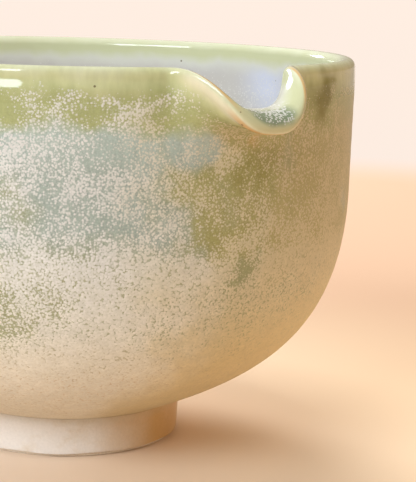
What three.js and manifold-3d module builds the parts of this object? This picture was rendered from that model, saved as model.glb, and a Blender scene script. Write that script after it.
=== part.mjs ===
// A hand-thrown stoneware tea bowl with a pouring lip drawn out of its rim, on a low foot ring.
// Millimetres, +Z up. The origin is the centre of the foot ring on the table, and the lip points
// along +X. Three pieces are clay (body, lip and foot ring), and five are the coats of glaze.
import * as THREE from "three";
import { mergeVertices } from "three/addons/utils/BufferGeometryUtils.js";
import Module from "manifold-3d";

const wasm = await Module();
wasm.setup();

// The glazed bowl, outside
const BOWL_HEIGHT = 82.4;
const RIM_RADIUS = 60;
const RIM_THICKNESS = 3.6;
const BELLY_TUCK = 0.25; // how much narrower the belly is than the rim
const BELLY_HEIGHT = 56.7;
const BELLY_ROUNDING = 32.5; // how far the upright tangent reaches down from the belly
const UNDERSIDE_SLOPE = THREE.MathUtils.degToRad(23.6);
const UNDERSIDE_ROUNDING = 20.7; // how far the sloping tangent reaches out from the foot

// The hollow
const BELLY_WALL = 4.15;
const FLOOR_HEIGHT = 11.9; // top of the floor above the table
const FLOOR_ROUNDING = 57; // how far the level tangent reaches out from the middle
const HOLLOW_ROUNDING = 7.6; // how far the upright tangent reaches down inside the belly

// The foot ring
const FOOT_RADIUS = 24.4;
const FOOT_HEIGHT = 8.4;
const FOOT_DRAFT = 0.4; // how much narrower the ring is at the table
const FOOT_WIDTH = 5.7;
const FOOT_BEVEL = 0.5;
const RECESS_DEPTH = 5.4; // from the table up to the underside of the floor
const FOOT_GLAZE_START = 0.9; // bare clay below this height

// The glaze coats and the joints between pieces
const GLAZE = 0.7;
const FOOT_GLAZE = 0.5;
const BOND_GAP = 0.25; // between a coat and the clay under it
const JOIN_GAP = 0.3; // between two pieces that meet edge to edge
const RIM_COAT_OUTSIDE = 12; // how far the green rim coat runs down
const RIM_COAT_INSIDE = 15;

// The pouring lip: the top of the wall curls outwards and down, most at its middle
const LIP_REACH = 16.5; // how much of the wall takes part, measured down from the rim
const LIP_BEND = THREE.MathUtils.degToRad(132);
const LIP_SHORTENING = 3.2; // how much the wall is squeezed shorter where it curls most
const LIP_LEFT = THREE.MathUtils.degToRad(15.7); // clockwise from the middle, from above
const LIP_RIGHT = THREE.MathUtils.degToRad(13.8);
const LIP_FLATNESS_LEFT = 1.6; // above 1 the trough is broader on that side than a cosine
const LIP_FLATNESS_RIGHT = 1.12;

// Fineness of the meshes
const TURN_STEPS = 48;
const LIP_TURN_STEPS = 300;
const CURVE_STEPS = 9;
const WALL_STEPS = 8;
const ARC_STEPS = 4;
const COARSE_WALL_STEPS = 1;
const SMALLEST = 1e-6; // lengths and angles below this count as none
const WELD = 1e-4; // vertices nearer to each other than this are one

const BELLY_RADIUS = RIM_RADIUS - BELLY_TUCK;
const CLAY_DEPTH = GLAZE + BOND_GAP;
const LIP_ROOT = BOWL_HEIGHT - LIP_REACH;
const RIM_ROUND = RIM_THICKNESS / 2;
const SHOULDER = BOWL_HEIGHT - RIM_ROUND;

const point = (r, z) => new THREE.Vector2(r, z);

// The outside of the glazed wall from the foot's crease to the belly.
const underside = new THREE.CubicBezierCurve(
  point(FOOT_RADIUS, FOOT_HEIGHT),
  point(
    FOOT_RADIUS + UNDERSIDE_ROUNDING * Math.cos(UNDERSIDE_SLOPE),
    FOOT_HEIGHT + UNDERSIDE_ROUNDING * Math.sin(UNDERSIDE_SLOPE),
  ),
  point(BELLY_RADIUS, BELLY_HEIGHT - BELLY_ROUNDING),
  point(BELLY_RADIUS, BELLY_HEIGHT),
);

// The outside from the belly to the shoulder of the rim, the rim's round top, and the inside down.
const outerWall = new THREE.LineCurve(
  point(BELLY_RADIUS, BELLY_HEIGHT),
  point(RIM_RADIUS, SHOULDER),
);
const rimTop = new THREE.EllipseCurve(
  RIM_RADIUS - RIM_ROUND,
  SHOULDER,
  RIM_ROUND,
  RIM_ROUND,
  0,
  Math.PI,
  false,
);
const innerWall = new THREE.LineCurve(
  point(RIM_RADIUS - RIM_THICKNESS, SHOULDER),
  point(BELLY_RADIUS - BELLY_WALL, BELLY_HEIGHT),
);
const hollow = new THREE.CubicBezierCurve(
  point(BELLY_RADIUS - BELLY_WALL, BELLY_HEIGHT),
  point(BELLY_RADIUS - BELLY_WALL, BELLY_HEIGHT - HOLLOW_ROUNDING),
  point(FLOOR_ROUNDING, FLOOR_HEIGHT),
  point(0, FLOOR_HEIGHT),
);

// A stretch of a curve as points sunk by depth into the wall. The wall is on the curve's left.
function sunk(curve, steps, depth, from = 0, to = 1) {
  return Array.from({ length: steps + 1 }, (_, i) => {
    const share = from + ((to - from) * i) / steps;
    const place = curve.getPoint(share);
    const along = curve.getTangent(share);
    return point(place.x - along.y * depth, place.y + along.x * depth);
  });
}

// The hollow's side of the wall at a depth, ending on the axis.
function hollowOutline(depth) {
  return [...sunk(hollow, CURVE_STEPS, depth).slice(0, -1), point(0, FLOOR_HEIGHT - depth)];
}

// The share of an upright line at which it passes a height.
function shareAt(line, height) {
  return (height - line.v1.y) / (line.v2.y - line.v1.y);
}

// Drops each point that repeats the one before it.
function tidy(points) {
  return points.filter(
    (p, i) => i === 0 || p.distanceTo(points[i - 1]) > SMALLEST,
  );
}

// A solid of revolution about Z from its half section.
function turned(section, steps) {
  const geometry = new THREE.LatheGeometry(tidy(section), steps);
  geometry.rotateX(Math.PI / 2);
  return geometry;
}

// A skin between two sides of a section, as the outline of its cross-section.
function skin(side, otherSide) {
  return [...side, ...otherSide.reverse(), side[0]];
}

// How much of the full bend the lip has at an angle from its middle.
function lipShare(angle) {
  const half = angle > 0 ? LIP_RIGHT : LIP_LEFT;
  const flatness = angle > 0 ? LIP_FLATNESS_RIGHT : LIP_FLATNESS_LEFT;
  const out = Math.min(Math.abs(angle) / half, 1);
  return (1 + Math.cos(Math.PI * out ** flatness)) / 2;
}

// Where the lip's bend begins on the outside of the wall, and the wall's lean there.
const lipRoot = outerWall.getPoint(shareAt(outerWall, LIP_ROOT));
const wallUp = outerWall.getTangent(0);
const wallIn = point(-wallUp.y, wallUp.x);
const wallLean = Math.atan2(wallUp.x, wallUp.y);

// Curls a point of the wall outwards as the potter's finger does.
function drawnOut(place, angle) {
  const share = lipShare(angle);
  const offset = place.clone().sub(lipRoot);
  const along = offset.dot(wallUp);
  const across = offset.dot(wallIn);
  const turn = (share * LIP_BEND * along) / LIP_REACH;
  if (along <= 0 || turn < SMALLEST) return place;
  const lean = wallLean + turn;
  const radius = (along / turn) * (1 - (share * LIP_SHORTENING) / LIP_REACH);
  return point(
    lipRoot.x + radius * (Math.cos(wallLean) - Math.cos(lean)) - across * Math.cos(lean),
    lipRoot.y + radius * (Math.sin(lean) - Math.sin(wallLean)) + across * Math.sin(lean),
  );
}

// Draws the lip out of a turned wall.
function withLip(geometry) {
  const places = geometry.attributes.position;
  for (let i = 0; i < places.count; i++) {
    const x = places.getX(i);
    const y = places.getY(i);
    const angle = Math.atan2(y, x);
    const moved = drawnOut(point(Math.hypot(x, y), places.getZ(i)), angle);
    places.setXYZ(i, moved.x * Math.cos(angle), moved.x * Math.sin(angle), moved.y);
  }
  return geometry;
}

// A wedge about the lip, smaller by a gap all round than the notch it stands in.
function wedge(gap) {
  const reach = RIM_RADIUS + LIP_REACH + RIM_THICKNESS;
  const inset = gap / RIM_RADIUS;
  const plan = new THREE.Shape();
  plan.absarc(0, 0, reach, -LIP_LEFT + inset, LIP_RIGHT - inset, false);
  plan.lineTo(0, 0);
  const geometry = new THREE.ExtrudeGeometry(plan, {
    depth: 2 * LIP_REACH,
    bevelEnabled: false,
    curveSegments: ARC_STEPS,
  });
  return geometry.translate(0, 0, LIP_ROOT + gap);
}

// A closed geometry as a manifold solid.
function solid(geometry) {
  const bare = geometry.clone();
  bare.deleteAttribute("normal");
  bare.deleteAttribute("uv");
  const merged = mergeVertices(bare, WELD);
  return new wasm.Manifold(
    new wasm.Mesh({
      numProp: 3,
      vertProperties: merged.attributes.position.array,
      triVerts: new Uint32Array(merged.index.array),
    }),
  );
}

// A manifold solid back as a geometry.
function geometryOf(made) {
  const mesh = made.getMesh();
  const geometry = new THREE.BufferGeometry();
  geometry.setAttribute("position", new THREE.BufferAttribute(mesh.vertProperties, 3));
  geometry.setIndex(new THREE.BufferAttribute(mesh.triVerts, 1));
  geometry.computeVertexNormals();
  return geometry;
}

// The turned wall without the notch that the lip fills.
const notched = (geometry) => geometryOf(solid(geometry).subtract(solid(wedge(0))));
// The lip alone, cut out of a wall that it was drawn from.
const lipOf = (geometry) => geometryOf(solid(withLip(geometry)).intersect(solid(wedge(JOIN_GAP))));

// The whole wall's outline at a depth, from the foot's crease over the rim to the middle.
function wallOutline(depth) {
  return [
    ...sunk(underside, CURVE_STEPS, depth),
    ...sunk(outerWall, COARSE_WALL_STEPS, depth),
    ...sunk(rimTop, ARC_STEPS, depth),
    ...sunk(innerWall, COARSE_WALL_STEPS, depth),
    ...hollowOutline(depth),
  ];
}

// The wall's outline above the lip's root, from outside over the rim to inside.
function rimOutline(depth, steps, outsideFrom, insideTo) {
  return [
    ...sunk(outerWall, steps, depth, shareAt(outerWall, outsideFrom), 1),
    ...sunk(rimTop, ARC_STEPS, depth),
    ...sunk(innerWall, steps, depth, 0, shareAt(innerWall, insideTo)),
  ];
}

const seat = wallOutline(CLAY_DEPTH)[0]; // the outer edge of the flat that the foot ring bears on
const ringOuter = FOOT_RADIUS - FOOT_GLAZE - BOND_GAP;
const ringInner = FOOT_RADIUS - FOOT_WIDTH;

// The thrown clay: floor, wall and rim, with a low boss that the foot ring fits round.
function bowlBody() {
  const boss = ringInner - JOIN_GAP;
  return notched(
    turned(
      [
        point(0, RECESS_DEPTH),
        point(boss, RECESS_DEPTH),
        point(boss, seat.y),
        ...wallOutline(CLAY_DEPTH),
      ],
      TURN_STEPS,
    ),
  );
}

// The clay of the lip.
function spoutLip() {
  const start = LIP_ROOT;
  const outline = rimOutline(CLAY_DEPTH, WALL_STEPS, start, start);
  return lipOf(turned([...outline, outline[0]], LIP_TURN_STEPS));
}

// The clay ring that the bowl stands on.
function footRing() {
  const top = seat.y - JOIN_GAP;
  const bottomOuter = ringOuter - FOOT_DRAFT;
  return turned(
    [
      point(ringInner + FOOT_BEVEL, 0),
      point(bottomOuter - FOOT_BEVEL, 0),
      point(bottomOuter, FOOT_BEVEL),
      point(ringOuter, top),
      point(ringInner, top),
      point(ringInner, FOOT_BEVEL),
      point(ringInner + FOOT_BEVEL, 0),
    ],
    TURN_STEPS,
  );
}

// The cream and blue-green coat outside, from the foot's crease to the rim coat.
function outerGlaze() {
  const top = shareAt(outerWall, BOWL_HEIGHT - RIM_COAT_OUTSIDE - JOIN_GAP);
  const side = (depth) => [
    ...sunk(underside, CURVE_STEPS, depth),
    ...sunk(outerWall, COARSE_WALL_STEPS, depth, 0, top),
  ];
  return notched(turned(skin(side(0), side(GLAZE)), TURN_STEPS));
}

// The pale coat inside, from the rim coat down over the floor.
function innerGlaze() {
  const top = shareAt(innerWall, BOWL_HEIGHT - RIM_COAT_INSIDE - JOIN_GAP);
  const side = (depth) => [
    ...sunk(innerWall, COARSE_WALL_STEPS, depth, top, 1),
    ...hollowOutline(depth),
  ];
  return notched(turned([...side(GLAZE).reverse(), ...side(0)], TURN_STEPS));
}

// The green coat that the rim was dipped in.
function rimGlaze() {
  const side = (depth) =>
    rimOutline(
      depth,
      COARSE_WALL_STEPS,
      BOWL_HEIGHT - RIM_COAT_OUTSIDE,
      BOWL_HEIGHT - RIM_COAT_INSIDE,
    );
  return notched(turned(skin(side(0), side(GLAZE)), TURN_STEPS));
}

// The glaze that wraps the lip.
function spoutGlaze() {
  const side = (depth) => rimOutline(depth, WALL_STEPS, LIP_ROOT, LIP_ROOT);
  return lipOf(turned(skin(side(0), side(GLAZE)), LIP_TURN_STEPS));
}

// The thin pale coat round the foot ring, stopping short of the table.
function footGlaze() {
  const top = FOOT_HEIGHT - JOIN_GAP;
  const lean = FOOT_DRAFT / (seat.y - JOIN_GAP - FOOT_BEVEL);
  const inside = (z) => ringOuter + BOND_GAP - lean * (seat.y - JOIN_GAP - z);
  return turned(
    [
      point(inside(FOOT_GLAZE_START), FOOT_GLAZE_START),
      point(inside(FOOT_GLAZE_START) + FOOT_GLAZE, FOOT_GLAZE_START),
      point(inside(top) + FOOT_GLAZE, top),
      point(inside(top), top),
      point(inside(FOOT_GLAZE_START), FOOT_GLAZE_START),
    ],
    TURN_STEPS,
  );
}

function material(color, roughness) {
  return new THREE.MeshStandardMaterial({ color, roughness, metalness: 0 });
}

const clay = material(0xd9c8ae, 0.85);
const creamGreen = material(0xb9b596, 0.45);
const paleGrey = material(0xc9cac6, 0.25);
const green = material(0xbcbf82, 0.12);
const porcelain = material(0xe6dccb, 0.4);

const bowl = new THREE.Group();
for (const [name, geometry, look] of [
  ["bowl_body", bowlBody(), clay],
  ["spout_lip", spoutLip(), clay],
  ["foot_ring", footRing(), clay],
  ["outer_glaze", outerGlaze(), creamGreen],
  ["inner_glaze", innerGlaze(), paleGrey],
  ["rim_glaze", rimGlaze(), green],
  ["spout_glaze", spoutGlaze(), green],
  ["foot_glaze", footGlaze(), porcelain],
]) {
  const mesh = new THREE.Mesh(geometry, look);
  mesh.name = name;
  bowl.add(mesh);
}

export default bowl;
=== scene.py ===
"""A thrown stoneware tea bowl with a pouring lip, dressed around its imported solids.

Everything is in metres, +Z up, with the turning axis on Z and the lip along +X.
"""
import logging
import math
from collections.abc import Iterable
from dataclasses import dataclass, field, replace
from enum import Enum
from functools import reduce

import bmesh
import bpy
from bmesh.types import BMesh, BMVert
from bpy.types import Material, Node, Object
from bpy.types import NodeSocket as Socket
from mathutils import Color, Euler, Matrix, Vector, noise
from mathutils.geometry import interpolate_bezier


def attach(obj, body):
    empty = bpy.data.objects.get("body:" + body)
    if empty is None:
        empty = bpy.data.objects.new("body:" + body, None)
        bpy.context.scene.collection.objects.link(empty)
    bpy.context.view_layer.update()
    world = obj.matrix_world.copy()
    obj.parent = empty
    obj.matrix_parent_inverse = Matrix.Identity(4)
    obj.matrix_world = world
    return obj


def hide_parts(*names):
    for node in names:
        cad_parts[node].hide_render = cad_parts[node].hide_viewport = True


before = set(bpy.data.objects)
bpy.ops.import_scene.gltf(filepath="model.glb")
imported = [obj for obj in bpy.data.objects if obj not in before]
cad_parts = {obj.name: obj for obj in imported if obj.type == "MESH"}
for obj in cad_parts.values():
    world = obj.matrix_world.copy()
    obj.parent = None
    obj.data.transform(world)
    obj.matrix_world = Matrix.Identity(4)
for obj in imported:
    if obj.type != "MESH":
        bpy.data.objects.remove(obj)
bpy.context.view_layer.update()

ROOT = "root"
MM = 0.001
WELD = 1e-6
CURVE_SHARE = 0.9  # a curve's length, against the length through its handles
CORNER_PULL = 0.55
CORNER_POINTS = 7
SHARP_EDGE = math.radians(42)
# The flame side: its glaze is browner, and painted shade makes it darker and warmer there as well.
FLAME_AND_SHADE_SIDE = math.radians(35)
NOISE_GAIN = 4.0
NOISE_ROUGHNESS = 0.55
log = logging.getLogger("tea_bowl")

Tone = tuple[float, float, float]
Value = Socket | Tone | Vector | float
Span = tuple[float, float]


class Slot(Enum):
    """The record's material slots."""

    CLAY = "clay"
    OUTSIDE = "glaze_outside"
    INSIDE = "glaze_inside"
    RIM = "glaze_rim"
    FOOT = "glaze_foot"


class Stretch(Enum):
    """The stretches of the wall's section, in the order in which it is walked."""

    UNDERSIDE = "from the foot's crease to the belly"
    BELLY_OUT = "up the outside to the root of the lip"
    SIDE_OUT = "up the outside to the edge of the rim coat"
    RIM_OUT = "up the outside to the rim's rounding"
    CREST = "over the rim"
    RIM_IN = "down the inside to the edge of the rim coat"
    SIDE_IN = "down the inside to the root of the lip"
    BELLY_IN = "down the inside to the belly"
    HOLLOW = "down to the middle of the floor"


@dataclass
class Section:
    """Points in the XZ plane with the wall on their left, walked from outside to inside."""

    points: list[Vector]
    below: list[float]

    @classmethod
    def plain(cls, points: list[Vector]) -> "Section":
        """A section with no distances from the rim's crest."""
        return cls(points, [0.0] * len(points))

    def __add__(self, other: "Section") -> "Section":
        """Joins two sections end to end, with a shared point once."""
        skip = 1 if (self.points[-1] - other.points[0]).length < WELD else 0
        return Section(self.points + other.points[skip:], self.below + other.below[skip:])

    def sunk(self, depth: float) -> "Section":
        """Moves the section sideways into the wall.

        Args:
            depth: How far it moves, at most as far as the axis.

        Returns:
            The moved section.
        """
        moved = []
        last = len(self.points) - 1
        for i, p in enumerate(self.points):
            along = (self.points[min(i + 1, last)] - self.points[max(i - 1, 0)]).normalized()
            moved.append(Vector((max(p.x - along.z * depth, 0), 0, p.z + along.x * depth)))
        return Section(moved, list(self.below))

    def skin(self, depth: float) -> "Section":
        """The outline of a coat whose visible side this section is."""
        back = self.sunk(depth)
        return Section(self.points + back.points[::-1], self.below + back.below[::-1])


def curve(start: Vector, leaving: Vector, arriving: Vector, end: Vector, row: float) -> list[Vector]:
    """Points along a Bezier curve.

    Args:
        start: First point.
        leaving: Handle of the first point.
        arriving: Handle of the last point.
        end: Last point.
        row: Wanted spacing.

    Returns:
        The points, both ends included.
    """
    reach = (leaving - start).length + (arriving - leaving).length + (end - arriving).length
    points = math.ceil(CURVE_SHARE * reach / row) + 1
    return [Vector(p) for p in interpolate_bezier(start, leaving, arriving, end, points)]


def line(start: Vector, end: Vector, row: float) -> list[Vector]:
    """Points along a straight line, about a row apart, both ends included."""
    steps = max(1, round((end - start).length / row))
    return [start.lerp(end, i / steps) for i in range(steps + 1)]


def rounded(corners: list[tuple[float, float]], radius: float, row: float) -> list[Vector]:
    """A closed outline with its corners rounded.

    Args:
        corners: Distances from the axis and heights.
        radius: How far the rounding reaches along each side.
        row: Wanted spacing along the straight sides.

    Returns:
        The outline's points, walked once round.
    """
    places = [Vector((r, 0, z)) for r, z in corners]
    outline: list[Vector] = []
    for i, corner in enumerate(places):
        before, after = places[i - 1], places[(i + 1) % len(places)]
        enter = corner + (before - corner).normalized() * radius
        leave = corner + (after - corner).normalized() * radius
        if outline:
            outline += line(outline[-1], enter, row)[1:-1]
        handles = enter.lerp(corner, CORNER_PULL), leave.lerp(corner, CORNER_PULL)
        outline += [Vector(p) for p in interpolate_bezier(enter, *handles, leave, CORNER_POINTS)]
    return outline + line(outline[-1], outline[0], row)[1:-1]


@dataclass(frozen=True)
class Sweep:
    """A part of a turn about Z, made of equal arcs of several steps each."""

    start: float
    angle: float
    arcs: int
    steps: int


def number_by_place(bm: BMesh) -> None:
    """Numbers a mesh's parts by their places, so that each run makes the same mesh.

    Args:
        bm: The mesh, whose parts a spin has numbered by chance.
    """
    for place, vert in enumerate(sorted(bm.verts, key=lambda v: v.co[:])):
        vert.index = place
    bm.verts.sort()
    for parts in (bm.edges, bm.faces):
        for place, part in enumerate(sorted(parts, key=lambda p: sorted(v.co[:] for v in p.verts))):
            part.index = place
        parts.sort()


def turned(parts: Iterable[tuple[Section, bool, Sweep]]) -> BMesh:
    """Sweeps sections about Z into one closed solid.

    Args:
        parts: Each section, whether its outline closes on itself, and its sweep.

    Returns:
        The solid, with each vertex's distance from the rim's crest in the layer "below".
    """
    bm = bmesh.new()
    below = bm.verts.layers.float.new("below")
    for section, closed, sweep in parts:
        turn = Matrix.Rotation(sweep.start, 3, "Z")
        verts = [bm.verts.new(turn @ p) for p in section.points]
        for vert, distance in zip(verts, section.below):
            vert[below] = distance
        pairs = list(zip(verts, verts[1:])) + ([(verts[-1], verts[0])] if closed else [])
        edges = [bm.edges.new(pair) for pair in pairs]
        before = set(bm.faces)
        bmesh.ops.spin(bm, geom=verts + edges, cent=(0, 0, 0), axis=(0, 0, 1), dvec=(0, 0, 0),
                       angle=sweep.angle / sweep.arcs, steps=sweep.steps, use_merge=False, use_duplicate=False)
        arc = [face for face in bm.faces if face not in before]
        for i in range(1, sweep.arcs):
            copied = bmesh.ops.duplicate(bm, geom=arc)["geom"]
            bmesh.ops.rotate(bm, verts=[v for v in copied if isinstance(v, BMVert)], cent=(0, 0, 0),
                             matrix=Matrix.Rotation(sweep.angle * i / sweep.arcs, 3, "Z"))
    number_by_place(bm)
    bmesh.ops.remove_doubles(bm, verts=bm.verts, dist=WELD)
    bmesh.ops.holes_fill(bm, edges=[e for e in bm.edges if e.is_boundary], sides=0)
    bmesh.ops.recalc_face_normals(bm, faces=bm.faces)
    return bm


def placed(name: str, data: bpy.types.ID) -> Object:
    """Puts an object that shows some data into the scene."""
    bpy.context.scene.collection.objects.link(made := bpy.data.objects.new(name, data))
    return made


def piece(name: str, bm: BMesh, look: Material, slot: Slot, *nodes: str) -> Object:
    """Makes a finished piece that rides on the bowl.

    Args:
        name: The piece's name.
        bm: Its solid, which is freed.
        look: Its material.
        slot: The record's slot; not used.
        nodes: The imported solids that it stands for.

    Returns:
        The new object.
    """
    mesh = bpy.data.meshes.new(name)
    bm.to_mesh(mesh)
    bm.free()
    mesh.shade_smooth()
    mesh.set_sharp_from_angle(angle=SHARP_EDGE)
    mesh.materials.append(look)
    made = placed(name, mesh)
    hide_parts(*nodes)
    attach(made, ROOT)
    return made


@dataclass
class Wall:
    """The glazed wall's section, from the foot's crease over the rim to the middle of the floor."""

    height: float = 82.4 * MM
    rim_radius: float = 60 * MM
    rim_thickness: float = 3.6 * MM
    belly_tuck: float = 0.25 * MM
    belly_height: float = 56.7 * MM
    belly_rounding: float = 32.5 * MM
    belly_wall: float = 4.15 * MM
    crease_radius: float = 24.4 * MM
    crease_height: float = 8.4 * MM
    underside_slope: float = math.radians(23.6)
    underside_rounding: float = 20.7 * MM
    floor_height: float = 11.9 * MM
    floor_rounding: float = 57 * MM
    hollow_rounding: float = 7.6 * MM
    root_height: float = 65.9 * MM
    rim_coat_outside: float = 12 * MM
    rim_coat_inside: float = 15 * MM
    thin_row: float = 0.04 * MM
    fine_row: float = 0.4 * MM
    row: float = 1.1 * MM

    @property
    def shoulder(self) -> float:
        """Height at which the rim's rounding begins."""
        return self.height - self.rim_thickness / 2

    def upright(self, inner: bool, z: float) -> Vector:
        """A point of the near-upright wall above the belly.

        Args:
            inner: Whether it is on the inside.
            z: Its height.

        Returns:
            The point, in the XZ plane.
        """
        rise = (z - self.belly_height) / (self.shoulder - self.belly_height)
        radius = self.rim_radius - self.belly_tuck * (1 - rise)
        if inner:
            radius -= self.belly_wall + (self.rim_thickness - self.belly_wall) * rise
        return Vector((radius, 0, z))

    def sections(self) -> dict[Stretch, Section]:
        """Walks the wall's section from the foot's crease to the middle of the floor.

        Returns:
            Each stretch, with distances along it from the rim's crest, positive outside.
        """
        low_out, low_in = self.height - self.rim_coat_outside, self.height - self.rim_coat_inside
        belly_out, belly_in = self.upright(False, self.belly_height), self.upright(True, self.belly_height)
        crease = Vector((self.crease_radius, 0, self.crease_height))
        slope = Vector((math.cos(self.underside_slope), 0, math.sin(self.underside_slope)))
        middle = Vector((0, 0, self.floor_height))
        runs = {
            Stretch.UNDERSIDE: curve(
                crease, crease + slope * self.underside_rounding,
                belly_out - Vector((0, 0, self.belly_rounding)), belly_out, self.row,
            ),
            Stretch.BELLY_OUT: self.run(False, self.belly_height, self.root_height, self.row),
            Stretch.SIDE_OUT: self.run(False, self.root_height, low_out, self.fine_row),
            Stretch.RIM_OUT: self.run(False, low_out, self.shoulder, self.fine_row),
            Stretch.CREST: self.crest(),
            Stretch.RIM_IN: self.run(True, self.shoulder, low_in, self.fine_row),
            Stretch.SIDE_IN: self.run(True, low_in, self.root_height, self.fine_row),
            Stretch.BELLY_IN: self.run(True, self.root_height, self.belly_height, self.row),
            Stretch.HOLLOW: curve(
                belly_in, belly_in - Vector((0, 0, self.hollow_rounding)),
                middle + Vector((self.floor_rounding, 0, 0)), middle, self.row,
            ),
        }
        measured, walked = {}, 0.0
        for stretch, points in runs.items():
            marks = [walked]
            for before, after in zip(points, points[1:]):
                marks.append(marks[-1] + (after - before).length)
            measured[stretch] = Section(points, marks)
            walked = marks[-1]
        over = measured[Stretch.CREST].below
        crest = (over[0] + over[-1]) / 2
        return {s: Section(m.points, [crest - mark for mark in m.below]) for s, m in measured.items()}

    def run(self, inner: bool, start: float, end: float, row: float) -> list[Vector]:
        """Follows the near-upright wall, with a thin row at each end so that coats meet smoothly.

        Args:
            inner: Whether it is on the inside.
            start: Height at which it begins.
            end: Height at which it ends.
            row: Wanted spacing.

        Returns:
            The points, both ends included.
        """
        points = line(self.upright(inner, start), self.upright(inner, end), row)
        thin = self.thin_row / row
        after, before = points[0].lerp(points[1], thin), points[-1].lerp(points[-2], thin)
        return [points[0], after, *points[1:-1], before, points[-1]]

    def crest(self) -> list[Vector]:
        """The rim's half-round top.

        Returns:
            The points from outside to inside, both ends included.
        """
        radius = self.rim_thickness / 2
        centre = Vector((self.rim_radius - radius, 0, self.shoulder))
        steps = math.ceil(math.pi * radius / self.fine_row)
        turns = (math.pi * i / steps for i in range(steps + 1))
        return [centre + Vector((math.cos(a), 0, math.sin(a))) * radius for a in turns]


@dataclass
class PouringLip:
    """The lip: the top of the wall curls outwards and down, most at its middle."""

    wall: Wall
    bend: float = math.radians(132)
    shortening: float = 3.28 * MM
    left: float = math.radians(15.7)
    right: float = math.radians(13.8)
    flatness_left: float = 1.6
    flatness_right: float = 1.12

    @property
    def lip_sweep(self) -> Sweep:
        """The part of the turn that the lip takes up."""
        return Sweep(-self.left, self.left + self.right, arcs=8, steps=14)

    @property
    def rest_sweep(self) -> Sweep:
        """The rest of the turn."""
        return Sweep(self.right, math.tau - self.left - self.right, arcs=10, steps=33)

    def share(self, angle: float) -> float:
        """How much of the full bend the lip has at a place along it.

        Args:
            angle: The place, as an angle from the lip's middle.

        Returns:
            The share, from 1 at the middle to 0 at both ends.
        """
        right = self.right, self.flatness_right
        half, flatness = right if angle > 0 else (self.left, self.flatness_left)
        return (1 + math.cos(math.pi * min(abs(angle) / half, 1) ** flatness)) / 2

    def draw_out(self, bm: BMesh) -> None:
        """Curls a turned wall outwards, and keeps each vertex's share in the layer "drawn".

        Args:
            bm: The wall, which is changed.
        """
        drawn = bm.verts.layers.float.new("drawn")
        root = self.wall.upright(False, self.wall.root_height)
        up = (self.wall.upright(False, self.wall.shoulder) - root).normalized()
        inward = Vector((-up.z, 0, up.x))
        lean = math.atan2(up.x, up.z)
        reach = self.wall.height - self.wall.root_height
        for vert in bm.verts:
            angle = math.atan2(vert.co.y, vert.co.x)
            share = self.share(angle)
            offset = Vector((math.hypot(vert.co.x, vert.co.y), 0, vert.co.z)) - root
            along, across = offset.dot(up), offset.dot(inward)
            turn = share * self.bend * along / reach
            vert[drawn] = share if along > 0 else 0
            if along <= 0 or turn < WELD:
                continue
            radius = along / turn * (1 - share * self.shortening / reach)
            tilt = lean + turn
            out = root.x + radius * (math.cos(lean) - math.cos(tilt)) - across * math.cos(tilt)
            rise = root.z + radius * (math.sin(tilt) - math.sin(lean)) + across * math.sin(tilt)
            vert.co = Vector((out * math.cos(angle), out * math.sin(angle), rise))


@dataclass
class ThrowingMarks:
    """The slight unevenness that hands leave in a thrown wall. It moves clay inwards and down only."""

    swell: float = 0.22 * MM
    swell_size: float = 26 * MM
    ridge: float = 0.03 * MM
    ridge_spacing: float = 4.2 * MM
    settle: float = 0.1 * MM
    foot_height: float = 8.4 * MM
    soft_edge: float = 0.58 * MM
    soft_run: float = 5.6 * MM
    soft_side: float = math.radians(-60)

    def press(self, bm: BMesh) -> None:
        """Moves a turned wall's vertices towards the axis and a little down, most at the rim.

        Args:
            bm: The wall, whose outer edge is also softened, most on one side.
        """
        below = bm.verts.layers.float["below"]
        for vert in bm.verts:
            radius = math.hypot(vert.co.x, vert.co.y)
            if radius < WELD:
                continue
            place = vert.co / self.swell_size
            swell = 0.5 + 0.5 * noise.noise(place)
            wander = noise.noise(place * 0.5 + Vector((7, 0, 0)))
            ridge = 0.5 + 0.5 * math.sin(math.tau * vert.co.z / self.ridge_spacing + 5 * wander)
            fade = min(max((vert.co.z - self.foot_height) / self.swell_size, 0), 1)
            inward = fade * (self.swell * swell + self.ridge * ridge)
            if 0 < vert[below] < self.soft_run:
                side = math.cos((math.atan2(vert.co.y, vert.co.x) - self.soft_side) / 2) ** 4
                inward += side * self.soft_edge * math.sin(math.pi * vert[below] / self.soft_run) ** 2
            low = self.settle * fade * (1 + 0.5 * noise.noise(Vector((place.x, place.y, 3)) * 0.6))
            vert.co.x *= 1 - inward / radius
            vert.co.y *= 1 - inward / radius
            vert.co.z -= low * fade


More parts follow.
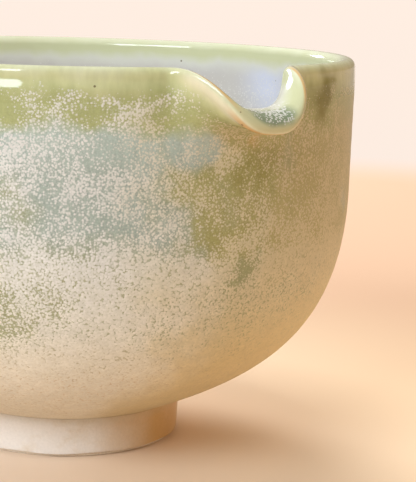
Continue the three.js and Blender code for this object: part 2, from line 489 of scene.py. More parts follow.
@dataclass
class GlazeCoats:
    """The coats of glaze over the wall: outside, inside, round the rim and round the lip."""

    wall: Wall
    lip: PouringLip
    marks: ThrowingMarks
    thickness: float = 0.7 * MM

    def build(self, look: Material) -> list[Object]:
        """Makes the four coats.

        Args:
            look: Their material.

        Returns:
            The finished coats.
        """
        parts = self.wall.sections()
        outside = parts[Stretch.UNDERSIDE] + parts[Stretch.BELLY_OUT]
        inside = parts[Stretch.BELLY_IN] + parts[Stretch.HOLLOW]
        rim = parts[Stretch.RIM_OUT] + parts[Stretch.CREST] + parts[Stretch.RIM_IN]
        rest, lip = self.lip.rest_sweep, self.lip.lip_sweep
        return [
            self.coat("outer_coat", look, Slot.OUTSIDE, "outer_glaze",
                      [(outside + parts[Stretch.SIDE_OUT], rest), (outside, lip)]),
            self.coat("inner_coat", look, Slot.INSIDE, "inner_glaze",
                      [(parts[Stretch.SIDE_IN] + inside, rest), (inside, lip)]),
            self.coat("rim_coat", look, Slot.RIM, "rim_glaze", [(rim, rest)]),
            self.coat("lip_coat", look, Slot.RIM, "spout_glaze",
                      [(parts[Stretch.SIDE_OUT] + rim + parts[Stretch.SIDE_IN], lip)]),
        ]

    def coat(self, name: str, look: Material, slot: Slot, node: str,
             swept: list[tuple[Section, Sweep]]) -> Object:
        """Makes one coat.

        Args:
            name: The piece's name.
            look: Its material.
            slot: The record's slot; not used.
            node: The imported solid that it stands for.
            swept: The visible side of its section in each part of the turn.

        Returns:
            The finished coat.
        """
        bm = turned((side.skin(self.thickness), True, sweep) for side, sweep in swept)
        self.marks.press(bm)
        self.lip.draw_out(bm)
        return piece(name, bm, look, slot, node)


@dataclass
class ClayBody:
    """The clay under the glaze, bare inside the foot ring, where its trimming shows."""

    wall: Wall
    lip: PouringLip
    marks: ThrowingMarks
    depth: float = 0.95 * MM
    boss_radius: float = 18.4 * MM
    recess_height: float = 5.4 * MM
    trim_pitch: float = 2.3 * MM
    trim_depth: float = 0.14 * MM
    nub_height: float = 0.7 * MM
    nub_radius: float = 2.4 * MM
    row: float = 0.45 * MM

    def build(self, look: Material) -> list[Object]:
        """Makes the body, with a notch where the lip stands, and the lip.

        Args:
            look: Their material.

        Returns:
            The two finished pieces.
        """
        parts = {stretch: part.sunk(self.depth) for stretch, part in self.wall.sections().items()}
        seat = parts[Stretch.UNDERSIDE].points[0]
        edge = Vector((self.boss_radius, 0, self.recess_height))
        under = line(Vector((0, 0, self.recess_height)), edge, self.row)
        under += [Vector((self.boss_radius, 0, seat.z)), seat]
        low_out = Section.plain(under) + parts[Stretch.UNDERSIDE] + parts[Stretch.BELLY_OUT]
        low_in = parts[Stretch.BELLY_IN] + parts[Stretch.HOLLOW]
        top = parts[Stretch.SIDE_OUT] + parts[Stretch.RIM_OUT] + parts[Stretch.CREST]
        top = top + parts[Stretch.RIM_IN] + parts[Stretch.SIDE_IN]
        body = turned([(low_out + top + low_in, False, self.lip.rest_sweep),
                       (low_out + low_in, False, self.lip.lip_sweep)])
        self.marks.press(body)
        self.trim(body)
        lip = turned([(top, True, self.lip.lip_sweep)])
        self.marks.press(lip)
        self.lip.draw_out(lip)
        return [
            piece("thrown_clay", body, look, Slot.CLAY, "bowl_body"),
            piece("lip_clay", lip, look, Slot.CLAY, "spout_lip"),
        ]

    def trim(self, bm: BMesh) -> None:
        """Cuts the spiral that the trimming tool leaves in the recess, round a small nub.

        Args:
            bm: The body, which is changed.
        """
        for vert in bm.verts:
            radius = math.hypot(vert.co.x, vert.co.y)
            if abs(vert.co.z - self.recess_height) > WELD or radius > self.boss_radius - self.row:
                continue
            angle = math.atan2(vert.co.y, vert.co.x)
            spiral = 0.5 + 0.5 * math.sin(math.tau * radius / self.trim_pitch - angle)
            nub = math.exp(-((radius / self.nub_radius) ** 2))
            vert.co.z += self.trim_depth * spiral * (1 - nub) - self.nub_height * nub


@dataclass
class Foot:
    """The foot ring and the thin coat round it."""

    wall: Wall
    width: float = 5.7 * MM
    draft: float = 0.4 * MM
    coat: float = 0.5 * MM
    bond: float = 0.25 * MM
    ring_top: float = 8.9 * MM
    bevel: float = 0.5 * MM
    coat_low: float = 0.8 * MM
    coat_wander: float = 0.3 * MM
    wander_size: float = 9 * MM
    row: float = 0.5 * MM

    def build(self, clay: Material, glaze: Material) -> list[Object]:
        """Makes the ring and its coat.

        Args:
            clay: The ring's material.
            glaze: The coat's material.

        Returns:
            The two finished pieces.
        """
        crease, height = self.wall.crease_radius, self.wall.crease_height
        low = self.radius(self.coat_low)
        inner = crease - self.width
        outer = crease - self.coat - self.bond
        whole = Sweep(0, math.tau, arcs=10, steps=26)
        ring = rounded([(inner, 0), (outer - self.draft, 0), (outer, self.ring_top), (inner, self.ring_top)],
                       self.bevel, self.row)
        body = turned([(Section.plain(ring), True, whole)])
        side = rounded([(low - self.coat, self.coat_low), (low, self.coat_low), (crease, height),
                        (crease - self.coat, height)], self.coat / 4, self.row)
        skin = turned([(Section.plain(side), True, whole)])
        self.wander(skin)
        return [
            piece("foot_ring_clay", body, clay, Slot.CLAY, "foot_ring"),
            piece("foot_coat", skin, glaze, Slot.FOOT, "foot_glaze"),
        ]

    def radius(self, z: float) -> float:
        """Radius of the foot's glazed side at a height."""
        return self.wall.crease_radius - self.draft * (1 - z / self.wall.crease_height)

    def wander(self, bm: BMesh) -> None:
        """Lets the coat's lower edge rise and fall, as wiped glaze does.

        Args:
            bm: The coat, which is changed.
        """
        tall = self.wall.crease_height - self.coat_low
        for vert in bm.verts:
            low = 1 - min(max((vert.co.z - self.coat_low) / tall, 0), 1)
            place = Vector((vert.co.x, vert.co.y, 0)) / self.wander_size
            vert.co.z += low * self.coat_wander * noise.noise(place)


def tone(red: int, green: int, blue: int) -> Tone:
    """A colour as a screen shows it, from 0 to 255, as the linear colour that shaders take."""
    return tuple(Color((red / 255, green / 255, blue / 255)).from_srgb_to_scene_linear())


class Recipe:
    """A material being mixed, with one short call for each node."""

    def __init__(self, name: str) -> None:
        """Starts a material.

        Args:
            name: The material's name.
        """
        self.material = bpy.data.materials.new(name)
        self.material.use_nodes = True
        self.tree = self.material.node_tree
        self.surface = self.tree.nodes["Principled BSDF"]
        self.place = self.node("TexCoord").outputs["Object"]

    def node(self, kind: str, feeds: dict[str | int, Value] | None = None, **settings: str) -> Node:
        """Adds a node.

        Args:
            kind: Its type, without the usual prefix.
            feeds: What goes into its inputs.
            settings: Its properties.

        Returns:
            The node.
        """
        made = self.tree.nodes.new("ShaderNode" + kind)
        for name, value in settings.items():
            setattr(made, name, value)
        for name, value in (feeds or {}).items():
            self.feed(made.inputs[name], value)
        return made

    def feed(self, socket: Socket, value: Value) -> None:
        """Sets what goes into a node.

        Args:
            socket: One of its inputs.
            value: A constant, or the output that it is linked to.
        """
        if isinstance(value, Socket):
            self.tree.links.new(value, socket)
        elif socket.type == "RGBA":
            socket.default_value = (*value, 1)
        else:
            socket.default_value = value

    def math(self, operation: str, a: Value, b: Value = 0.0) -> Socket:
        """Works out a sum, product or the like of two values."""
        return self.node("Math", {0: a, 1: b}, operation=operation).outputs[0]

    def total(self, *values: Value) -> Socket:
        """Adds several values up."""
        return reduce(lambda a, b: self.math("ADD", a, b), values)

    def product(self, *values: Value) -> Socket:
        """Multiplies several values."""
        return reduce(lambda a, b: self.math("MULTIPLY", a, b), values)

    def vector(self, operation: str, a: Value, b: Value = (0, 0, 0)) -> Socket:
        """Works out a vector from one or two vectors."""
        return self.node("VectorMath", {0: a, 1: b}, operation=operation).outputs[0]

    def measure(self, operation: str, a: Value, b: Value = (0, 0, 0)) -> Socket:
        """Works out a number, such as a length, from one or two vectors."""
        return self.node("VectorMath", {0: a, 1: b}, operation=operation).outputs["Value"]

    def rise(self, value: Value, low: Value, high: Value, most: float = 1.0) -> Socket:
        """Goes smoothly from 0 to a most as a value goes from low to high."""
        feeds = {"Value": value, "From Min": low, "From Max": high, "To Max": most}
        return self.node("MapRange", feeds, interpolation_type="SMOOTHSTEP").outputs[0]

    def band(self, value: Value, start: Span, end: Span, most: float = 1.0) -> Socket:
        """Goes smoothly from 0 to a most over one span of a value, and back to 0 over the next."""
        return self.product(self.rise(value, *start, most), self.rise(value, end[1], end[0]))

    def mix(self, share: Value, a: Value, b: Value) -> Socket:
        """Mixes two colours."""
        return self.node("Mix", {0: share, 6: a, 7: b}, data_type="RGBA").outputs[2]

    def shade(self, colour: Value, share: Value) -> Socket:
        """Multiplies a colour by a grey value."""
        feeds = {0: 1.0, 6: colour, 7: self.node("CombineColor", {0: share, 1: share, 2: share}).outputs[0]}
        return self.node("Mix", feeds, data_type="RGBA", blend_type="MULTIPLY").outputs[2]

    def clouds(self, size: float, swing: float = 1.0, seed: float = 0.0, detail: float = 2.0,
               tall: float = 1.0) -> Socket:
        """Noise about 0.

        Args:
            size: How wide its features are, in millimetres.
            swing: How far it goes to either side of 0, apart from rare peaks.
            seed: Sets one pattern apart from another.
            detail: How many finer layers it has.
            tall: How many times taller than wide its features are.

        Returns:
            The noise's socket.
        """
        feeds = {"Vector": self.place, "Location": (seed, seed, seed), "Scale": (1, 1, 1 / tall)}
        moved = self.node("Mapping", feeds).outputs[0]
        feeds = {"Vector": moved, "Scale": 1 / (size * MM), "Detail": detail, "Roughness": NOISE_ROUGHNESS}
        raw = self.node("TexNoise", feeds).outputs[0]
        return self.product(self.math("SUBTRACT", raw, 0.5), swing * NOISE_GAIN)

    def ramp(self, value: Value, stops: dict[float, Tone]) -> Socket:
        """A colour that changes along a value.

        Args:
            value: What it changes along.
            stops: The colour at each of several values, from low to high.

        Returns:
            The colour's socket.
        """
        low, high = min(stops), max(stops)
        share = self.node("MapRange", {"Value": value, "From Min": low, "From Max": high}).outputs[0]
        made = self.node("ValToRGB", {0: share})
        elements = made.color_ramp.elements
        elements.remove(elements[1])
        for i, (at, colour) in enumerate(stops.items()):
            where = (at - low) / (high - low)
            element = elements.new(where) if i else elements[0]
            element.position = where
            element.color = (*colour, 1)
        return made.outputs[0]

    def levels(self, value: Value, stops: tuple[Span, ...]) -> Socket:
        """A number from 0 to 1 that changes along a value, as a colour does in a ramp."""
        return self.ramp(value, {at: (level,) * 3 for at, level in stops})

    def near(self, centre: Vector, radius: float, place: Value) -> Socket:
        """Goes smoothly from 1 at a centre to 0 a radius away from it."""
        return self.rise(self.measure("DISTANCE", place, centre), radius, 0.0)

    def flame_and_shade(self, least: float, most: float) -> Socket:
        """How much each point faces the flame side, where the glaze is browner and painted shade also makes it
        darker and warmer.

        Args:
            least: Cosine of the angle from the flame at which it begins to show.
            most: Cosine of the angle within which it shows fully.

        Returns:
            The share's socket.
        """
        outward = self.vector("NORMALIZE", self.vector("MULTIPLY", self.place, (1, 1, 0)))
        facing = Vector((math.cos(FLAME_AND_SHADE_SIDE), math.sin(FLAME_AND_SHADE_SIDE), 0))
        faced = self.measure("DOT_PRODUCT", outward, facing)
        wandering = self.total(faced, self.clouds(22, 0.12, 11), self.clouds(6, 0.05, 12))
        return self.rise(wandering, least, most)

    def finish(self, colour: Value, roughness: Value, relief: Value, depth: float) -> Material:
        """Dresses the surface.

        Args:
            colour: Its base colour.
            roughness: Its roughness.
            relief: Its fine relief, about 0 to 1.
            depth: How deep that relief is, in metres.

        Returns:
            The finished material.
        """
        feeds = {"Height": relief, "Distance": depth, "Strength": 1.0}
        self.feed(self.surface.inputs["Base Color"], colour)
        self.feed(self.surface.inputs["Roughness"], roughness)
        self.feed(self.surface.inputs["Normal"], self.node("Bump", feeds).outputs[0])
        return self.material


class CoatRecipe(Recipe):
    """A glaze being mixed, which knows where on the bowl each point of a coat is."""

    def __init__(self) -> None:
        """Measures each point's distances from the rim's crest and its share of the lip's bend."""
        super().__init__("mottled_glaze")
        self.below = self.math("DIVIDE", self.node("Attribute", attribute_name="below").outputs["Fac"], MM)
        self.deep = self.total(self.product(self.below, -1.0), self.clouds(7, 0.8, 51))
        self.drawn = self.node("Attribute", attribute_name="drawn").outputs["Fac"]
        self.curled = self.rise(self.drawn, 0.35, 0.8)
        # Partly browner glaze, partly painted shade: the flame side is painted darker and warmer.
        self.flamed_and_shaded = self.flame_and_shade(0.48, 0.84)


@dataclass(frozen=True)
class Patch:
    """A place on the outside where the glaze settled in its own way, in degrees and millimetres."""

    angle: float
    height: float
    radius: float
    strength: float


@dataclass(frozen=True)
class MottledGlaze:
    """The glaze: a green, blue-grey or brown ground under a crust of cream grains.

    Its sizes and its distances from the rim's crest are in millimetres.
    """

    mix: CoatRecipe = field(default_factory=CoatRecipe)

    belly_radius: float = 59.75
    upright_height: float = 40.0
    tuck: float = 0.3
    sway: float = 12.0
    sway_size: float = 8.0
    low_body: Span = (34.0, 62.0)
    near_foot: Span = (62.0, 90.0)
    grain: float = 0.42
    fine_grain: float = 0.24
    hole_spacing: float = 5.0
    rim_green: Tone = tone(213, 215, 182)
    rim_low: Tone = tone(198, 200, 152)
    # The inner rim is paler and bluer: partly the glaze's own tone, partly a painted highlight.
    rim_inside_with_sheen: Tone = tone(226, 228, 204)
    rim_band: Tone = tone(206, 209, 170)
    olive: Tone = tone(168, 173, 119)
    celadon: Tone = tone(172, 188, 180)
    blue_grey: Tone = tone(158, 172, 163)
    brown: Tone = tone(160, 158, 102)
    moss: Tone = tone(153, 156, 116)
    blotch: Tone = tone(126, 120, 40)
    tan: Tone = tone(205, 182, 145)
    # toasted and the warm tones go on the flame side: partly browner glaze, partly painted shade.
    toasted: Tone = tone(208, 191, 152)
    cream: Tone = tone(225, 224, 220)
    warm_cream: Tone = tone(216, 207, 181)
    low_cream: Tone = tone(232, 227, 213)
    low_warm: Tone = tone(220, 200, 153)
    foot_cream: Tone = tone(228, 218, 197)
    foot_warm: Tone = tone(206, 186, 144)
    break_tan: Tone = tone(208, 168, 108)
    lip_pale: Tone = tone(198, 200, 160)
    flank_pale_and_sheen: Tone = tone(238, 230, 206)
    lip_dark: Tone = tone(102, 122, 102)
    pool: Tone = tone(200, 196, 190)
    pool_edge: Tone = tone(218, 219, 208)
    pool_blue: Tone = tone(210, 216, 236)
    # Painted reflection: a bluish spot on the far inner wall where a window is reflected.
    reflection_spot: Vector = Vector((-2, 56, 74))
    reflection_spot_size: float = 13.0
    pinhole: Tone = tone(92, 76, 48)
    olive_patches: tuple[Patch, ...] = (
        Patch(-40, 57, 14, 0.55), Patch(-41, 34, 14, 0.7), Patch(-25, 61, 18, -0.5), Patch(1, 44, 6, -0.8),
        Patch(-24, 68, 12, -0.4), Patch(37, 54, 7, -0.6), Patch(13, 66, 6, -0.4), Patch(-10, 69, 8, -0.9),
        Patch(-24, 56, 6, -0.4), Patch(6, 45, 6, -0.6), Patch(-8, 70, 7, -0.6), Patch(-8, 53.5, 7, 0.35),
    )
    grain_patches: tuple[Patch, ...] = (
        Patch(-25, 76.5, 6, 0.2), Patch(-18, 75.5, 7, 0.26), Patch(-41, 62, 15, 0.1), Patch(4, 52, 7, 0.3),
        Patch(-25, 68, 8, -0.2), Patch(-24, 55, 7, -0.2), Patch(-3, 64, 12, -0.08), Patch(1, 44, 6, -0.4),
        Patch(-42, 37, 15, -0.32), Patch(22, 75, 8, -0.3), Patch(-13, 70, 8, -0.15), Patch(-4, 65.5, 5, 0.3),
        Patch(-44, 73.5, 7, -0.25), Patch(-40, 57, 9, -0.18), Patch(-8, 70, 6, -0.2), Patch(6, 45, 6, -0.3),
        Patch(-27, 72.5, 6, -0.15), Patch(-12, 77.5, 5, -0.12), Patch(-35, 60, 7, -0.12),
        Patch(-8, 53.5, 6, -0.15),
    )
    blotches: tuple[Patch, ...] = (
        Patch(22.5, 77, 6, 1.0), Patch(23, 73, 4.5, 0.7), Patch(2.7, 63.8, 6, 0.45),
    )
    # Painted reflected light: a tan glow on the body just under the lip.
    reflected_glow_spots: tuple[Patch, ...] = (Patch(1.6, 69.6, 2.4, 0.5),)
    grain_levels: tuple[Span, ...] = (
        (3, 0.0), (4.5, 0.12), (6.5, 0.42), (12, 0.47), (18, 0.46), (30, 0.48), (34.5, 0.56), (37, 0.86),
        (44, 0.81), (50, 0.88), (58, 0.95),
    )
    inner_levels: tuple[Span, ...] = ((5, 0.0), (9, 0.2), (13, 0.3), (22, 0.12), (60, 0.1))
    satin_levels: tuple[Span, ...] = (
        (-60, 0.16), (-8, 0.1), (0, 0.05), (4.5, 0.06), (8, 0.3), (12, 0.36), (40, 0.46), (90, 0.55),
    )

    def centre(self, patch: Patch) -> Vector:
        """Where a patch's middle is, on an outside that narrows below a height."""
        radius = self.belly_radius * min(1, (patch.height / self.upright_height) ** self.tuck)
        return Matrix.Rotation(math.radians(patch.angle), 3, "Z") @ Vector((radius, 0, patch.height)) * MM

    def patched(self, patches: tuple[Patch, ...]) -> Socket:
        """Adds up what a set of patches does at each point.

        Args:
            patches: The patches, whose edges sway.

        Returns:
            The sum of their strengths.
        """
        mix = self.mix
        feeds = {"Vector": mix.place, "Scale": 1 / (self.sway_size * MM)}
        sway = mix.vector("SUBTRACT", mix.node("TexNoise", feeds).outputs["Color"], (0.5,) * 3)
        place = mix.vector("ADD", mix.place, mix.vector("MULTIPLY", sway, (self.sway * MM,) * 3))
        near = ((mix.near(self.centre(p), p.radius * MM, place), p.strength) for p in patches)
        return mix.total(*(mix.product(*shares) for shares in near))

    def ground(self) -> Socket:
        """Colours the outside between the grains.

        Returns:
            The colour's socket.
        """
        mix = self.mix
        wandering = mix.total(mix.below, mix.clouds(13, 2.5, 3), mix.clouds(4, 0.8, 5))
        top = {0: self.rim_green, 3.5: self.rim_low, 7: self.olive}
        foot = {52: self.moss, 64: self.tan}
        blue = {10.5: self.olive, 13.5: self.celadon, 20: self.blue_grey, 31: self.blue_grey, 38: self.moss}
        brown = {16: self.brown, 34: self.brown, 42: self.moss}
        cool, warm = (mix.ramp(wandering, {**top, **belly, **foot}) for belly in (blue, brown))
        # Brown ground on the flame side: partly the glaze's own colour, partly painted shade.
        share = mix.total(mix.flamed_and_shaded, mix.clouds(10, 0.2, 13), self.patched(self.olive_patches))
        specks = mix.product(mix.clouds(0.35, 0.16, 22), mix.rise(mix.below, 2.0, 14.0))
        streaks = mix.total(1.0, mix.clouds(1.3, 0.07, 21, tall=3), specks)
        return mix.shade(mix.mix(mix.rise(share, 0.1, 0.9), cool, warm), streaks)

    def cover(self) -> Socket:
        """Spreads the grains over the outside.

        Returns:
            How much of the surface they take up.
        """
        mix = self.mix
        level = mix.levels(mix.total(mix.below, mix.clouds(11, 1.8, 31)), self.grain_levels)
        clumps = mix.total(mix.clouds(5, 0.18, 33, detail=3), mix.clouds(17, 0.12, 34))
        patched = mix.total(clumps, self.patched(self.grain_patches))
        return mix.total(level, mix.product(mix.rise(mix.below, 3.0, 8.0), patched))

    def crumbs(self, cover: Value, size: float) -> Socket:
        """Scatters the grains: round, of chance sizes and merging where they are many.

        Args:
            cover: How much of the surface they take up.
            size: How far apart they are.

        Returns:
            How thick the crust is, from 0 between the grains to about 1 on them.
        """
        mix = self.mix
        cells = mix.node("TexVoronoi", {"Vector": mix.place, "Scale": 1 / (size * MM)})
        luck, chance = mix.node("SeparateColor", {0: cells.outputs["Color"]}).outputs[:2]
        there = mix.rise(mix.math("SUBTRACT", mix.product(cover, 2.0), luck), 0.0, 0.3)
        radius = mix.product(there, mix.total(mix.product(cover, 0.5), 0.33))
        swaying = mix.total(radius, mix.clouds(size * 0.6, 0.06, 41))
        edge = mix.math("SUBTRACT", swaying, cells.outputs["Distance"])
        thick = mix.total(mix.product(chance, 0.3), mix.rise(cover, 0.1, 0.52, 0.45), 0.25)
        return mix.product(thick, mix.rise(edge, -0.09, 0.12))

    def skin(self) -> tuple[Socket, Socket]:
        """Colours the outside.

        Returns:
            Its colour, and how thick the grains on it are.
        """
        mix = self.mix
        low_body, near_foot = mix.rise(mix.below, *self.low_body), mix.rise(mix.below, *self.near_foot)
        # Warm tones on the flame side: partly the glaze's own colour, partly painted shade.
        cream = mix.mix(mix.flamed_and_shaded, self.cream, self.warm_cream)
        cream = mix.mix(low_body, cream, mix.mix(mix.flamed_and_shaded, self.low_cream, self.low_warm))
        cream = mix.mix(near_foot, cream, mix.mix(mix.flamed_and_shaded, self.foot_cream, self.foot_warm))
        clouds = mix.clouds(2.2, 0.05, 61), mix.clouds(12, 0.04, 62), mix.clouds(0.5, 0.06, 63)
        cream = mix.shade(cream, mix.total(1.0, *clouds))
        cover = self.cover()
        sand, grains = self.crumbs(cover, self.fine_grain), self.crumbs(cover, self.grain)
        ground = mix.mix(self.patched(self.blotches), self.ground(), self.blotch)
        # Painted reflected light: a tan glow under the lip.
        ground = mix.mix(self.patched(self.reflected_glow_spots), ground, self.break_tan)
        ground = mix.mix(mix.product(sand, 0.28), ground, cream)
        # Fewer cream grains on the flame side: partly melted crust, partly painted shade.
        melted_and_shaded = mix.product(mix.flamed_and_shaded, mix.rise(mix.below, 44.0, 34.0, 0.15))
        skin = mix.mix(mix.product(grains, mix.math("SUBTRACT", 1.0, melted_and_shaded)), ground, cream)
        # The flame side's upper wall goes towards toasted tones: partly browner glaze, partly painted shade.
        toasted_and_shaded = mix.product(mix.flame_and_shade(0.88, 0.97), mix.rise(mix.below, 7.0, 14.0, 0.25))
        return mix.mix(toasted_and_shaded, skin, mix.mix(low_body, self.toasted, self.low_warm)), grains

    def lining(self) -> tuple[Socket, Socket]:
        """Colours the inside, with a painted reflection as a bluish spot on the far wall, and the lip's
        trough, which is darker and frosted.

        Returns:
            Its colour, and how thick the grains on it are.
        """
        mix = self.mix
        # Painted reflection of a window, as a bluish spot; elsewhere the blue comes and goes at random.
        painted_reflection = mix.near(self.reflection_spot * MM, self.reflection_spot_size * MM, mix.place)
        pool = mix.mix(mix.total(painted_reflection, mix.clouds(24, 0.2, 72)), self.pool, self.pool_blue)
        band = {0: self.rim_inside_with_sheen, 3: self.rim_band, 4: self.rim_band, 6: self.pool_edge}
        lined = mix.mix(mix.rise(mix.deep, 5.0, 8.5), mix.ramp(mix.deep, band), pool)
        middle = mix.total(mix.drawn, mix.clouds(3, 0.02, 73))
        trough = mix.product(mix.rise(middle, 0.88, 0.99), mix.band(mix.deep, (0.8, 2.2), (4.0, 5.6)))
        frosted = mix.product(mix.rise(middle, 0.8, 0.93), mix.band(mix.deep, (3.4, 5.6), (8.0, 12.0), 0.5))
        lined = mix.mix(mix.product(mix.curled, mix.rise(mix.deep, 9.0, 1.0)), lined, self.lip_pale)
        lined = mix.mix(mix.product(trough, 0.8), lined, self.lip_dark)
        level = mix.levels(mix.deep, self.inner_levels)
        cover = mix.total(level, mix.product(trough, 0.4), frosted, mix.clouds(6, 0.1, 71))
        grains = self.crumbs(cover, self.grain)
        return mix.mix(grains, lined, self.cream), grains

    def worn_and_sheen(self, colour: Value) -> Socket:
        """Pales the lip's flanks, partly as thin glaze and partly as a painted highlight, lets tan break
        through along its edge, and adds pinholes.

        Args:
            colour: The glaze's colour so far.

        Returns:
            The colour's socket.
        """
        mix = self.mix
        bent = mix.band(mix.drawn, (0.02, 0.25), (0.8, 0.97))
        # Pale band along the lip's flanks: partly thin glaze over the edge, partly a painted highlight.
        thin = mix.product(bent, mix.band(mix.below, (0.0, 1.6), (2.0, 4.6), 0.55))
        colour = mix.mix(thin, colour, self.flank_pale_and_sheen)
        tip = mix.product(mix.band(mix.below, (0.2, 0.9), (1.6, 2.8)), mix.rise(mix.drawn, 0.6, 0.9))
        beside = mix.band(mix.drawn, (0.02, 0.3), (0.6, 0.9))
        flank = mix.product(mix.band(mix.below, (-1.8, -1.3), (-0.7, -0.2)), beside)
        colour = mix.mix(mix.product(mix.math("MAXIMUM", tip, flank), 0.85), colour, self.break_tan)
        cells = mix.node("TexVoronoi", {"Vector": mix.place, "Scale": 1 / (self.hole_spacing * MM)})
        luck = mix.node("SeparateColor", {0: cells.outputs["Color"]}).outputs[0]
        rare = mix.math("GREATER_THAN", luck, 0.4)
        hole = mix.product(rare, mix.rise(cells.outputs["Distance"], 0.06, 0.035))
        return mix.mix(mix.product(hole, mix.rise(mix.below, 14.0, 11.0, 0.8)), colour, self.pinhole)

    def make(self) -> Material:
        """Mixes the glaze.

        Returns:
            The finished material.
        """
        mix = self.mix
        outside = mix.rise(mix.below, -0.4, 0.4)
        skin, grains = self.skin()
        lining, inner_grains = self.lining()
        colour = self.worn_and_sheen(mix.mix(outside, lining, skin))
        crust = mix.math("MAXIMUM", mix.product(grains, outside), mix.product(inner_grains, 0.4))
        satin = mix.levels(mix.below, self.satin_levels)
        matt = mix.product(mix.curled, mix.rise(mix.deep, 0.4, 2.0, 0.1))
        roughness = mix.total(satin, matt, mix.product(crust, 0.22))
        relief = mix.total(mix.product(crust, 0.7), mix.clouds(3, 0.12, 81))
        mix.surface.inputs["IOR"].default_value = 1.5
        return mix.finish(colour, roughness, relief, 0.05 * MM)


@dataclass(frozen=True)
class FootWash:
    """The thin pale wash of glaze round the foot, with ochre clouds where it is thinnest, painted shade on the
    flame side and a painted shadow under the crease.
    """

    pale: Tone = tone(231, 223, 215)
    ochre: Tone = tone(206, 182, 146)
    shaded_side_brown: Tone = tone(204, 166, 112)
    shadow: Tone = tone(184, 176, 150)
    crease: float = 8.4 * MM
    shadow_height: float = 2.2 * MM

    def make(self) -> Material:
        """Mixes the wash.

        Returns:
            The finished material.
        """
        mix = Recipe("foot_wash")
        upright = mix.node("SeparateXYZ", {0: mix.place}).outputs[2]
        height = mix.total(upright, mix.clouds(6, 0.8 * MM, 6))
        clouds = mix.total(mix.clouds(7, 0.24, 4, tall=0.5), mix.clouds(1.6, 0.1, 5))
        colour = mix.mix(mix.rise(clouds, -0.05, 0.6), self.pale, self.ochre)
        # Painted shade: the foot is darker and browner on the flame side.
        colour = mix.mix(mix.flame_and_shade(0.5, 1.1), colour, self.shaded_side_brown)
        upper = mix.rise(height, self.crease - self.shadow_height, self.crease, 0.25)
        colour = mix.mix(upper, colour, self.shadow)
        colour = mix.shade(colour, mix.total(1.0, mix.clouds(0.5, 0.04, 7)))
        roughness = mix.total(0.42, mix.clouds(4, 0.08, 8))
        relief = mix.total(mix.clouds(0.6, 0.4, 9), mix.clouds(3, 0.4, 10))
        return mix.finish(colour, roughness, relief, 0.03 * MM)


@dataclass(frozen=True)
class BareClay:
    """Fired stoneware with fine grog and a few iron specks."""

    buff: Tone = tone(236, 222, 204)
    toasted: Tone = tone(216, 188, 152)
    iron: Tone = tone(104, 78, 56)

    def make(self) -> Material:
        """Mixes the clay.

        Returns:
            The finished material.
        """
        mix = Recipe("bare_clay")
        colour = mix.mix(mix.rise(mix.clouds(14, 0.6, 3), -0.2, 0.8), self.buff, self.toasted)
        colour = mix.shade(colour, mix.total(1.0, mix.clouds(0.4, 0.09, 4)))
        specks = mix.rise(mix.clouds(0.7, 0.5, 5), 0.42, 0.5, 0.7)
        colour = mix.mix(specks, colour, self.iron)
        relief = mix.total(mix.clouds(0.35, 0.5, 6), mix.clouds(1.2, 0.3, 7, tall=0.3))
        return mix.finish(colour, mix.total(0.86, mix.clouds(2, 0.05, 8)), relief, 0.06 * MM)


@dataclass
class Viewpoint:
    """The camera. Its bearing is about Z from -Y, and it looks past the bowl by the yaw."""

    bearing: float = math.radians(58.1)
    distance: float = 0.3291
    height: float = 0.0990
    pitch: float = math.radians(9.88)
    yaw: float = math.radians(5.22)
    roll: float = math.radians(1.64)
    lens: float = 115.0

    def across(self, right: float, away: float, height: float) -> Vector:
        """A point given by how far right of and behind the bowl's axis it is, as seen from here."""
        return Matrix.Rotation(self.bearing, 3, "Z") @ Vector((right, away, height))

    @property
    def ahead(self) -> tuple[float, float]:
        """The way it looks, as a step right and a step away."""
        return math.sin(self.yaw), math.cos(self.yaw)

    def build(self) -> None:
        """Makes the camera."""
        data = bpy.data.cameras.new("camera")
        data.lens = self.lens
        camera = placed("camera", data)
        turn = Euler((math.pi / 2 - self.pitch, 0, self.bearing - self.yaw)).to_matrix().to_4x4()
        place = Matrix.Translation(self.across(0, -self.distance, self.height))
        camera.matrix_world = place @ turn @ Matrix.Rotation(self.roll, 4, "Z")
        bpy.context.scene.camera = camera


@dataclass(frozen=True)
class Panel:
    """A soft light, placed as the camera sees it and aimed at the bowl. Only some show as reflections."""

    name: str
    right: float
    away: float
    height: float
    width: float
    tall: float
    power: float
    colour: Tone
    mirrored: bool = False

    def build(self, seen: Viewpoint, target: Vector) -> None:
        """Makes the light.

        Args:
            seen: The camera that its place is given from.
            target: What it points at.
        """
        data = bpy.data.lights.new(self.name, "AREA")
        data.shape = "RECTANGLE"
        data.size, data.size_y = self.width, self.tall
        data.energy = self.power
        data.color = self.colour
        lamp = placed(self.name, data)
        lamp.visible_glossy = self.mirrored
        place = seen.across(self.right, self.away, self.height)
        turn = (target - place).to_track_quat("-Z", "Y").to_matrix().to_4x4()
        lamp.matrix_world = Matrix.Translation(place) @ turn


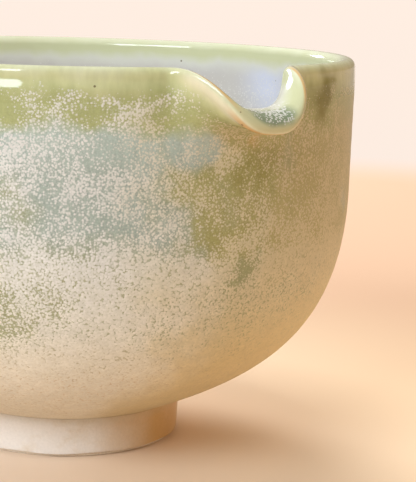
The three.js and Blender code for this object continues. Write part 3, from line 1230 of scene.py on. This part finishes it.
@dataclass
class Studio:
    """A plain pale floor under soft window light."""

    seen: Viewpoint
    floor_radius: float = 30.0
    left_tone: Tone = tone(246, 226, 208)
    right_tone: Tone = tone(246, 217, 182)
    distant_tone: Tone = tone(226, 189, 160)
    far_tone: Tone = tone(246, 230, 219)
    unlit: Tone = (0.0, 0.0, 0.0)
    turn: Span = (-0.08, 0.12)
    distance: Span = (0.06, 0.18)
    fade: Span = (0.43, 0.55)
    aim_height: float = 0.045
    backdrop_inner: float = math.radians(10)
    backdrop_outer: float = math.radians(16)
    surrounding_glow: float = 0.55
    sky: Tone = (1.0, 0.83, 0.64)
    sky_strength: float = 0.38
    panels: tuple[Panel, ...] = (
        Panel("window", -0.58, -0.67, 0.53, 0.68, 0.28, 8.1, (0.80, 0.91, 1.0), True),
        Panel("window_behind", -0.16, 0.95, 0.60, 0.38, 0.38, 10.5, (0.88, 0.94, 1.0)),
        Panel("skylight", -0.42, 0.80, 0.34, 0.20, 0.14, 1.1, (0.88, 0.94, 1.0), True),
        Panel("ceiling", -0.1, 0.1, 1.0, 0.4, 0.4, 4.0, (1.0, 0.97, 0.93)),
        Panel("warm_bounce", 0.8, 0.1, 0.12, 0.5, 0.3, 1.2, (1.0, 0.66, 0.38)),
    )

    def build(self) -> None:
        """Makes the floor, the sky and the lights, for colours shown as they are."""
        bpy.context.scene.view_settings.view_transform = "Standard"
        bm = bmesh.new()
        bmesh.ops.create_circle(bm, cap_ends=True, segments=96, radius=self.floor_radius)
        mesh = bpy.data.meshes.new("floor")
        bm.to_mesh(mesh)
        bm.free()
        mesh.materials.append(self.floor_finish())
        floor = placed("floor", mesh)
        world = bpy.data.worlds.new("sky")
        world.use_nodes = True
        world.node_tree.nodes["Background"].inputs[0].default_value = (*self.sky, 1)
        world.node_tree.nodes["Background"].inputs[1].default_value = self.sky_strength
        bpy.context.scene.world = world
        for panel in self.panels:
            panel.build(self.seen, Vector((0, 0, self.aim_height)))

    def floor_finish(self) -> Material:
        """A smooth warm floor that turns into an evenly bright backdrop behind the bowl.

        Returns:
            The finished material.
        """
        mix = Recipe("floor")
        away = mix.measure("LENGTH", mix.place)
        far = mix.rise(away, *self.fade)
        beside = mix.measure("DOT_PRODUCT", mix.place, self.seen.across(1, 0, 0))
        near = mix.mix(mix.rise(beside, *self.turn), self.left_tone, self.right_tone)
        near = mix.mix(mix.rise(away, *self.distance), near, self.distant_tone)
        colour = mix.mix(far, near, self.unlit)
        mix.feed(mix.surface.inputs["Emission Color"], self.far_tone)
        start = self.seen.across(0, -self.seen.distance, 0)
        outward = mix.vector("NORMALIZE", mix.vector("SUBTRACT", mix.place, start))
        faced = mix.measure("DOT_PRODUCT", outward, self.seen.across(*self.seen.ahead, 0))
        behind = mix.rise(faced, math.cos(self.backdrop_outer), math.cos(self.backdrop_inner))
        glow = mix.total(mix.product(behind, 1 - self.surrounding_glow), self.surrounding_glow)
        mix.feed(mix.surface.inputs["Emission Strength"], mix.product(glow, far))
        return mix.finish(colour, 0.5, mix.clouds(2, 0.3, 1), 0.02 * MM)


@dataclass
class TeaBowl:
    """The whole bowl: clay, foot and coats of glaze."""

    wall: Wall = field(default_factory=Wall)
    marks: ThrowingMarks = field(default_factory=ThrowingMarks)

    def build(self) -> list[Object]:
        """Makes every piece.

        Returns:
            The finished pieces.
        """
        lip = PouringLip(self.wall)
        glaze, wash, clay = MottledGlaze().make(), FootWash().make(), BareClay().make()
        made = ClayBody(replace(self.wall, fine_row=1.1 * MM, row=1.8 * MM), lip, self.marks).build(clay)
        made += Foot(self.wall).build(clay, wash)
        made += GlazeCoats(self.wall, lip, self.marks).build(glaze)
        return made


def main() -> None:
    """Builds the bowl, its floor, its light and its camera."""
    logging.basicConfig(level=logging.INFO, format="%(message)s")
    seen = Viewpoint()
    seen.build()
    Studio(seen).build()
    for made in TeaBowl().build():
        log.info("%s is in place, with %d faces", made.name, len(made.data.polygons))


if __name__ == "__main__":
    main()
